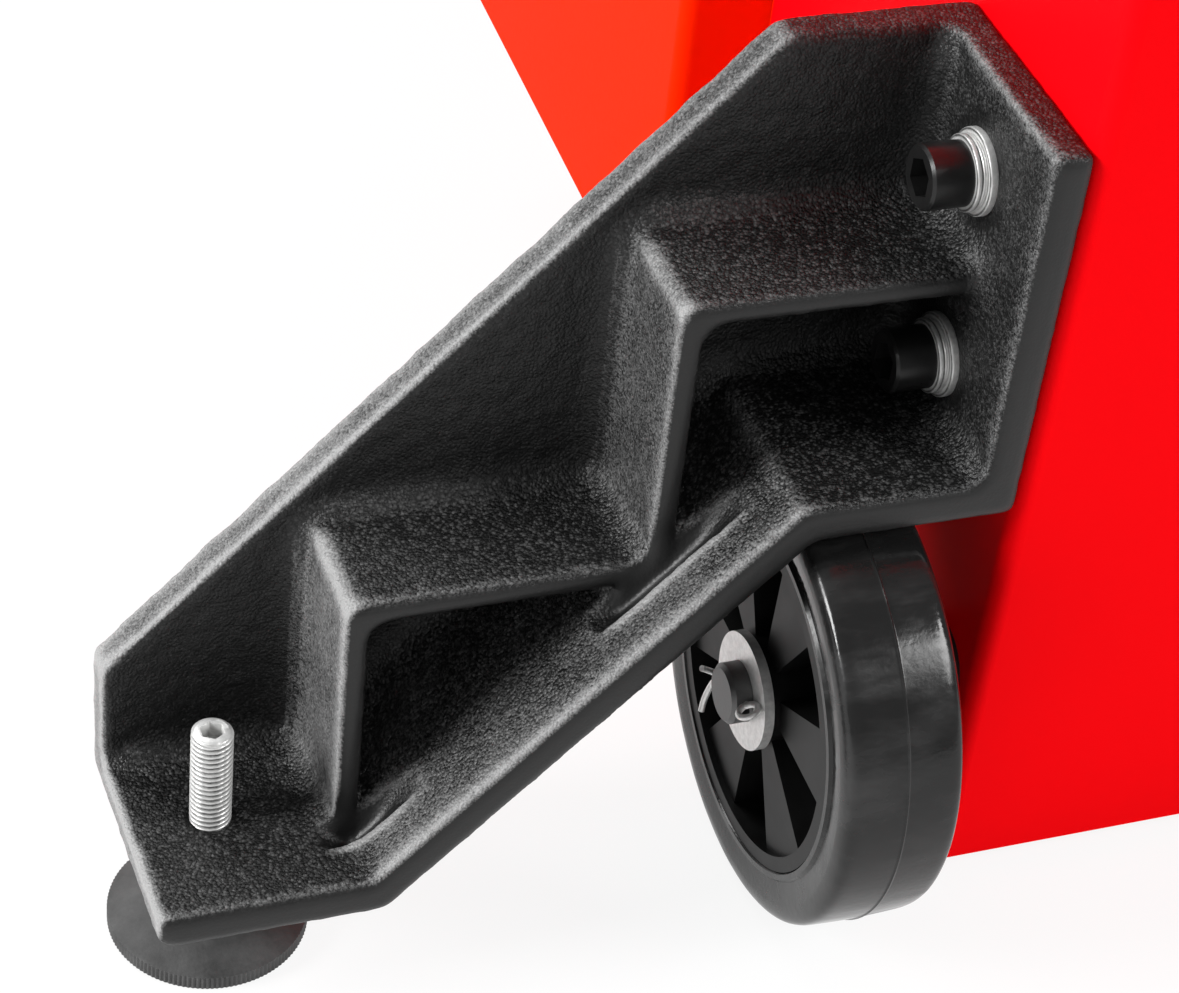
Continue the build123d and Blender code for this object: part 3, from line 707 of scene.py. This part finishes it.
def dressing_cut(points, normals, side, sizes):
    """The ground cut into the sole in front of the ribs' feet: its depth, its wall and the band along its
    front edge that gets a painted highlight.

    The sole's height is read from its front lip as a function of the reach from the stud.
    """
    lip_band = (8.0 * MM, 14.0 * MM)
    end_fades = (8.0 * MM, 11.0 * MM)
    level = 0.5
    under_sole = -4.0 * MM
    foot_heights = (14.0 * MM, 8.0 * MM)
    wall_lip = 0.8 * MM
    wall_back = (-2.0 * MM, -1.0 * MM)
    wall_front = 1.5 * MM
    front_slope = 2.5 * MM
    ridge_ahead = 0.4 * MM
    ridge_half = (1.8 * MM, 0.6 * MM)
    width = sizes.dress_width
    reach = (middle(f"{side}_level_stud")[0] - points[:, 0]) * SIDES[side]
    setback = points[:, 1] - points[:, 1].min()
    lip = (setback > lip_band[0]) & (setback < lip_band[1]) & (normals[:, 2] > level)
    order = np.argsort(reach[lip])
    above = points[:, 2] - np.interp(reach, reach[lip][order], points[lip, 2][order])
    ahead = RIB_SETBACK - setback
    starts = [ramp(reach, low, low + end_fades[0]) for low, _ in RIB_FEET]
    ends = [ramp(reach, high, high - end_fades[1]) for _, high in RIB_FEET]
    spans = np.multiply(starts, ends)
    feet = np.max(spans, axis=0) * ramp(above, *foot_heights) * (above > under_sole)
    lane = ramp(ahead, 0.0, wall_lip) * ramp(ahead, width, width - front_slope)
    wall = ramp(ahead, *wall_back) * ramp(ahead, width - wall_front, width - front_slope)
    ridge = ramp(np.abs(ahead - width - ridge_ahead), *ridge_half)
    return sizes.dress_depth * lane * feet, wall * feet, ridge * feet


def outwards(vectors, normals):
    """Length of each vector along its normal."""
    return (vectors * normals).sum(1)


def fill_roots(skin, points, normals, mask):
    """Raise hollow corners most of the way to a much smoothed skin."""
    broad_passes = 110
    blend_passes = 6
    full_depth = 1.2 * MM
    share = 0.85
    sunk = outwards(skin.smooth(points, broad_passes) - points, normals)
    hollow = skin.smooth((ramp(sunk, 0.0, full_depth) * mask)[:, None], blend_passes)
    return points + share * hollow * sunk[:, None] * normals


def round_edges(skin, points, normals, mask):
    """Lower the edges that stick out from a smoothed skin."""
    passes = 10
    share = 0.6
    proud = outwards(points - skin.smooth(points, passes), normals)
    worn = share * ramp(proud, 0.4 * MM, 1.2 * MM) * proud * mask
    return points - worn[:, None] * normals


def rubbed_and_lit_edges(points, normals, side, stands_out, solid):
    """Rub and painted highlight on edges that stick out and face up or outwards, stronger near the stud, and
    painted highlight on upright risers that face outwards.

    The second result says how far each face looks up and outwards, the way that gets the painted highlight.
    """
    # Upright risers that face outwards get a painted highlight.
    riser_highlight = 0.34
    outward = SIDES[side]
    # Edges of faces that look this way, up and outwards, get a painted highlight.
    highlight_facing = (0.75 * outward, -0.10, 0.65)
    toward_highlight = ramp(normals @ highlight_facing, 0.5, 0.9)
    away = np.abs(points[:, 0] - middle(f"{side}_level_stud")[0]) / np.ptp(points[:, 0])
    stud_weight = np.clip(1.15 - 0.9 * away, 0.3, 1.0) * solid
    upright = ramp(normals[:, 0] * outward, 0.45, 0.90)
    return (stands_out * toward_highlight + riser_highlight * upright) * stud_weight, toward_highlight


def soft_casting(source, sizes, side):
    """Even skin with sand-cast lumps pushed along its normals, and layers for rub with painted highlight,
    ground faces and painted glints on faces that look up.

    A point sticks out by its distance along the normal from the smoothed skin. Narrow faces that stick out
    and face the front are ground smooth, and faces that look up get more pale specks as painted glints.
    """
    first_passes = 2
    wall_passes = 5
    near_passes = 12
    far_passes = 48
    sharp_height = 0.8 * MM
    narrow_height = 3.0 * MM
    # Painted highlight along the front edge of the dressing cut.
    ridge_highlight = 0.45
    mesh = even_skin(source, sizes.cast_grain)
    skin = Skin(mesh)
    points = skin.smooth(read_rows(mesh.vertices, "co", 3, np.float64), first_passes)
    normals = place_points(mesh, points)
    solid = clear_of_holes(points, side)
    cut, wall, ridge = dressing_cut(points, normals, side, sizes)
    points = fill_roots(skin, points, normals, solid * (1.0 - wall))
    normals = place_points(mesh, points)
    points = round_edges(skin, points, normals, solid)
    points = points - cut[:, None] * (0.0, 0.0, 1.0)
    points = points + wall[:, None] * (skin.smooth(points, wall_passes) - points)
    normals = place_points(mesh, points)

    near = skin.smooth(points, near_passes)
    sharp = outwards(points - near, normals) / sharp_height
    narrow = outwards(points - skin.smooth(near, far_passes), normals) / narrow_height
    stands_out = np.clip(0.75 * sharp + 0.55 * narrow, 0.0, 1.0)
    # The edge layer holds rub, partly real wear and partly painted highlight.
    edge, toward_highlight = rubbed_and_lit_edges(points, normals, side, stands_out, solid)
    # The dressing cut's front edge gets a painted highlight.
    edge = edge * (1.0 - wall) + ridge_highlight * ridge
    depth = (points[:, 1] - points[:, 1].min()) / np.ptp(points[:, 1])
    ground = ramp(narrow, 0.10, 0.30) * ramp(-normals[:, 1], 0.70, 0.90) * ramp(depth, 0.70, 0.65)
    ground = np.maximum(ground, wall)
    # Painted glints: more pale specks, and stronger bumps, on faces that look up.
    top_glints = np.clip(0.15 + 0.85 * normals[:, 2], 0.12, 1.0)

    plain = 1.0 - 0.8 * ground
    swell = sizes.cast_swell * (0.2 + 0.8 * toward_highlight) * plain * lumps(points, SWELL_SIZE, SWELL_SEED)
    pebble = sizes.cast_pebble * plain * lumps(points, PEBBLE_SIZE, PEBBLE_SEED)
    place_points(mesh, points + normals * (swell + pebble + sizes.cast_skin)[:, None])
    for name, values in (("edge", edge), ("ground", ground), ("top_glints", top_glints)):
        store_layer(mesh, name, values)
    mesh.shade_smooth()
    return mesh


class BuildCastLegs(bpy.types.Operator):
    """Soft-edged sand castings with rubbed edges"""

    bl_idname = "jackbase.cast_legs"
    bl_label = "Cast Legs"

    def execute(self, context):
        for side in SIDES:
            node = f"{side}_leg_casting"
            mesh = soft_casting(frame["nodes"][node], context.scene.jack_base_sizes, side)
            add_piece(f"{side}_ribbed_leg", mesh, "base", "cast_black", node)
        return {"FINISHED"}


def washer_section(width, bore, outer, corner, groove):
    """Closed section of a washer as (along the bolt, radius): rounded corners and a groove round the rim."""
    corner_steps = 5
    turn = np.radians(np.linspace(0.0, 90.0, corner_steps))
    face = np.array([(0.0, bore), (0.0, outer - 2.0 * corner)])
    bend = np.stack([corner - corner * np.cos(turn), outer - corner + corner * np.sin(turn)], -1)
    near = np.concatenate([face, bend, [(width / 2 - groove, outer)]])
    far = near[::-1] * (-1.0, 1.0) + (width, 0.0)
    return np.concatenate([near, [(width / 2, outer - groove)], far])


def washer_points(section, start, height, across, angles):
    """Carry a washer's section round a bolt along X."""
    radius = section[None, :, 1]
    turn = angles[:, None]
    along = np.broadcast_to(start + section[None, :, 0], (len(angles), len(section)))
    return np.stack([along, across + radius * np.cos(turn), height + radius * np.sin(turn)], -1)


def joined(name, parts):
    """One mesh from several."""
    work = bmesh.new()
    for part in parts:
        work.from_mesh(part)
    mesh = bpy.data.meshes.new(name)
    work.to_mesh(mesh)
    work.free()
    mesh.shade_smooth()
    mesh.set_sharp_from_angle(angle=math.radians(SHARP_ANGLE))
    return mesh


def washer_mesh(node, angles, split, sizes):
    """The washers on one leg's two bolts, with a layer of painted shade near the rim and in its groove."""
    low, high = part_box(node)
    outer = (high[1] - low[1]) / 2
    across = low[1] + outer
    heights = (low[2] + outer, high[2] - outer)
    groove = sizes.washer_groove if split else 0.0
    section = washer_section(high[0] - low[0], WASHER_BORE, outer, sizes.washer_corner, groove)
    rings = [washer_points(section, low[0], height, across, angles) for height in heights]
    mesh = joined(node, [ring_surface(node, points, not split) for points in rings])
    places = read_rows(mesh.vertices, "co", 3, np.float64)
    reach = [np.hypot(places[:, 1] - across, places[:, 2] - height) for height in heights]
    depth = (outer - np.min(reach, axis=0)) / sizes.washer_groove
    # Painted shade near the washer's rim and in its groove.
    store_layer(mesh, "crevice_shade", np.where(depth < RIM_DEPTH, depth, 0.0).clip(0.0, 1.0))
    return mesh


class BuildWashers(bpy.types.Operator):
    """Split and flat washers under the bolt heads"""

    bl_idname = "jackbase.washers"
    bl_label = "Washers"

    def execute(self, context):
        sizes = context.scene.jack_base_sizes
        gap = math.radians(SPRING_GAP)
        first = math.radians(SPRING_GAP_START)
        split = np.linspace(first + gap, first + 2.0 * math.pi, WASHER_SIDES)
        for side in SIDES:
            for kind, angles in (("spring_washers", split), ("flat_washers", circle_angles(WASHER_SIDES))):
                node = f"{side}_{kind}"
                mesh = washer_mesh(node, angles, angles is split, sizes)
                add_piece(f"{node}_rounded", mesh, "base", "zinc", node)
        return {"FINISHED"}


class BuildLevelStuds(bpy.types.Operator):
    """Threaded studs with a key socket"""

    bl_idname = "jackbase.level_studs"
    bl_label = "Levelling Studs"

    def execute(self, context):
        sizes = context.scene.jack_base_sizes
        angles = circle_angles(STUD_SIDES)
        for side in SIDES:
            node = f"{side}_level_stud"
            low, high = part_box(node)
            centre = middle(node) * (1.0, 1.0, 0.0)
            radius = (high[0] - low[0]) / 2
            points = thread_points(radius, low[2], high[2], sizes, angles) + centre
            mesh = ring_surface(f"{side}_threaded_stud", points, False, THREAD_SHARP_ANGLE)
            places = read_rows(mesh.vertices, "co", 3, np.float64) - centre
            # Painted shade in the thread roots and in the key socket, none in the band at the top.
            depth = (radius - np.hypot(places[:, 0], places[:, 1])) / sizes.thread_depth
            depth[depth > SOCKET_DEPTH] = SOCKET_SHADE
            below_top = places[:, 2] < high[2] - UNSHADED_TOP
            store_layer(mesh, "crevice_shade", np.where(below_top, depth, 0.0).clip(0.0, 1.0))
            add_piece(f"{side}_threaded_stud", mesh, f"{side}_stud", "zinc", node)
        return {"FINISHED"}


class BuildFootDiscs(bpy.types.Operator):
    """Round feet with grooved rims"""

    bl_idname = "jackbase.foot_discs"
    bl_label = "Foot Discs"

    def execute(self, context):
        sizes = context.scene.jack_base_sizes
        angles = circle_angles(sizes.knurl_count * KNURL_STEPS)
        for side in SIDES:
            node = f"{side}_foot_disc"
            low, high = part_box(node)
            centre = middle(node) * (1.0, 1.0, 0.0)
            outer = (high[0] - low[0]) / 2
            points = foot_points(low[2], high[2], outer, sizes, angles, FOOT_BORE) + centre
            mesh = ring_surface(f"{side}_grooved_foot", points, False)
            add_piece(f"{side}_grooved_foot", mesh, f"{side}_foot", "foot_plastic", node)
        return {"FINISHED"}


class BuildTyres(bpy.types.Operator):
    """Solid tyres with a mould line round the tread"""

    bl_idname = "jackbase.tyres"
    bl_label = "Tyres"

    def execute(self, context):
        angles = circle_angles(TYRE_SIDES)
        for side, outward in SIDES.items():
            node = f"{side}_tyre"
            low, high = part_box(node)
            hub_low, hub_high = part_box(f"{side}_wheel_hub")
            centre = middle(node)
            width = high[0] - low[0]
            centre[0] += outward * width / 2
            bore = (hub_high[2] - hub_low[2]) / 2 + TYRE_GAP
            profile = tyre_profile(bore, (high[2] - low[2]) / 2, width, context.scene.jack_base_sizes)
            mesh = ring_surface(f"{side}_solid_tyre", axle_rings(profile, angles, centre, outward), True)
            add_piece(f"{side}_solid_tyre", mesh, f"{side}_wheel", "tyre_rubber", node)
        return {"FINISHED"}


def pin_path(centre, outward, wire):
    """Middle line of a split pin through the axle end: leg, shank, round eye, shank and leg."""
    tilt = math.radians(17.0)
    axle = 9.0 * MM
    eye = 3.0 * MM
    eye_gap = 0.6 * MM
    eye_turn = 162.0
    end = 1.2 * MM
    up_bulge = 3.0 * MM
    down_bulge = 5.0 * MM
    stack = np.array([-0.90 * outward, 0.0, 0.44])
    along = np.array([0.0, math.cos(tilt), -math.sin(tilt)])
    up_reach = np.array([outward * 6.0, 1.5, 3.0]) * MM
    down_reach = np.array([outward * 2.5, 1.0, -13.0]) * MM
    turn = np.radians(np.linspace(-eye_turn, eye_turn, 40)) + math.pi
    eye_along = eye * np.cos(turn) - (axle + eye + eye_gap)
    loop = eye_along[:, None] * along + (eye * np.sin(turn))[:, None] * stack
    shank = np.linspace(-axle, axle + end, 12)[:, None] * along
    upper = shank + wire * stack
    lower = shank - wire * stack
    bend = np.linspace(0.15, 1.0, 9)[:, None]
    bulge = (bend - bend**2) * along
    up_leg = upper[-1] + bend * up_reach + bulge * up_bulge
    down_leg = lower[-1] + bend * down_reach + bulge * down_bulge
    return centre + np.concatenate([up_leg[::-1], upper[::-1], loop[::-1], lower, down_leg])


class BuildSplitPins(bpy.types.Operator):
    """Split pins through the axle ends"""

    bl_idname = "jackbase.split_pins"
    bl_label = "Split Pins"

    def execute(self, context):
        wire = context.scene.jack_base_sizes.pin_wire
        axle_centre = middle("axle")
        for side, outward in SIDES.items():
            node = f"{side}_split_pin"
            centre = np.array([middle(node)[0], axle_centre[1], axle_centre[2]])
            path = pin_path(centre, outward, wire)
            across = np.array([0.44 * outward, 0.25, 0.86])
            mesh = ring_surface(f"{side}_cotter", tube_points(path, wire, across), False)
            add_piece(f"{side}_cotter", mesh, "base", "zinc", node)
        return {"FINISHED"}


class PaintFrame(bpy.types.Operator):
    """Finish every plain node by its material slot"""

    bl_idname = "jackbase.paint_frame"
    bl_label = "Paint Frame"

    def execute(self, context):
        slots = {entry["node"]: entry["material_slot"] for entry in frame["record"]["subparts"]}
        for name, piece in frame["nodes"].items():
            for place in piece.material_slots:
                place.material = material(slots[name])
        return {"FINISHED"}


def soft_lamp(name, place, aim, size, watts):
    """Large square lamp that points at a place."""
    data = bpy.data.lights.new(name, "AREA")
    data.shape = "SQUARE"
    data.size = size
    data.energy = watts
    lamp = bpy.data.objects.new(name, data)
    lamp.location = place
    lamp.rotation_euler = (Vector(aim) - Vector(place)).to_track_quat("-Z", "Y").to_euler()
    bpy.context.scene.collection.objects.link(lamp)


def studio_world(strength):
    """Even pale surroundings that light the object softly."""
    world = bpy.data.worlds.new("studio")
    bpy.context.scene.world = world
    world.use_nodes = True
    background = world.node_tree.nodes["Background"]
    background.inputs["Color"].default_value = (1.0, 1.0, 1.0, 1.0)
    background.inputs["Strength"].default_value = strength


def studio_floor(size, whiteness):
    """Pale floor under the feet. Part of what is seen of it is plain white, and the rest keeps the shadow."""
    corners = np.array([(-1, -1, 0), (1, -1, 0), (1, 1, 0), (-1, 1, 0)]) * size / 2
    mesh = bpy.data.meshes.new("floor")
    mesh.from_pydata(corners.tolist(), [], [(0, 1, 2, 3)])
    floor = bpy.data.objects.new("floor", mesh)
    paint = Paint("floor_white")
    mesh.materials.append(paint.finish(Base_Color=FLOOR_COLOUR, Roughness=FLOOR_ROUGHNESS))
    camera = paint.node("ShaderNodeLightPath", output="Is Camera Ray")
    glossy = paint.node("ShaderNodeLightPath", output="Is Glossy Ray")
    clear = paint.node("ShaderNodeLightPath", output="Is Transmission Ray")
    white = paint.node("ShaderNodeEmission", None, {"Strength": 1.0})
    lit = Field(paint, paint.shader.outputs[0])
    seen = (camera + glossy + clear) * whiteness
    blend = paint.node("ShaderNodeMixShader", None, {0: seen, 1: lit, 2: white})
    paint.feed(paint.tree.nodes["Material Output"].inputs["Surface"], blend)
    bpy.context.scene.collection.objects.link(floor)


def photo_camera():
    """Camera at the photograph's place, rolled as it was held."""
    azimuth = math.radians(CAMERA_AZIMUTH)
    elevation = math.radians(CAMERA_ELEVATION)
    forward = Vector((math.sin(azimuth) * math.cos(elevation), math.cos(azimuth) * math.cos(elevation),
                      -math.sin(elevation)))
    turn = forward.to_track_quat("-Z", "Y").to_matrix() @ Matrix.Rotation(math.radians(CAMERA_ROLL), 3, "Z")
    data = bpy.data.cameras.new("photo_camera")
    data.sensor_fit = "HORIZONTAL"
    data.sensor_width = SENSOR_WIDTH
    data.lens = CAMERA_LENS
    camera = bpy.data.objects.new("photo_camera", data)
    camera.matrix_world = Matrix.Translation(CAMERA_PLACE) @ turn.to_4x4()
    bpy.context.scene.collection.objects.link(camera)
    bpy.context.scene.camera = camera


class BuildStage(bpy.types.Operator):
    """Pale floor, soft lamps and the photograph's camera"""

    bl_idname = "jackbase.stage"
    bl_label = "Stage"

    def execute(self, context):
        context.scene.view_settings.view_transform = "Standard"
        studio_world(WORLD_STRENGTH)
        studio_floor(FLOOR_SIZE, FLOOR_WHITE)
        for name, (place, size, watts) in LAMPS.items():
            soft_lamp(name, place, LAMP_AIM, size, watts)
        photo_camera()
        return {"FINISHED"}


class JackBasePanel(bpy.types.Panel):
    """Lists the pieces of the jack base"""

    bl_idname = "VIEW3D_PT_jack_base"
    bl_label = "Jack Base"
    bl_space_type = "VIEW_3D"
    bl_region_type = "UI"
    bl_category = "Jack Base"

    def draw(self, context):
        for operator in OPERATORS:
            self.layout.operator(operator.bl_idname)
        for group in (context.scene.jack_base_sizes, context.scene.jack_base_colours):
            column = self.layout.column()
            for name in group.__annotations__:
                column.prop(group, name)


OPERATORS = (
    PaintFrame,
    BuildCastLegs,
    BuildWashers,
    BuildLevelStuds,
    BuildFootDiscs,
    BuildTyres,
    BuildSplitPins,
    BuildStage,
)
CLASSES = (JackBaseSizes, JackBaseColours, *OPERATORS, JackBasePanel)


def register():
    for entry in CLASSES:
        bpy.utils.register_class(entry)
    bpy.types.Scene.jack_base_sizes = PointerProperty(type=JackBaseSizes)
    bpy.types.Scene.jack_base_colours = PointerProperty(type=JackBaseColours)


def unregister():
    del bpy.types.Scene.jack_base_sizes
    del bpy.types.Scene.jack_base_colours
    for entry in reversed(CLASSES):
        bpy.utils.unregister_class(entry)


def main():
    """Build every piece."""
    register()
    for operator in OPERATORS:
        group, name = operator.bl_idname.split(".")
        getattr(getattr(bpy.ops, group), name)()
    bpy.context.view_layer.update()


if __name__ == "__main__":
    main()
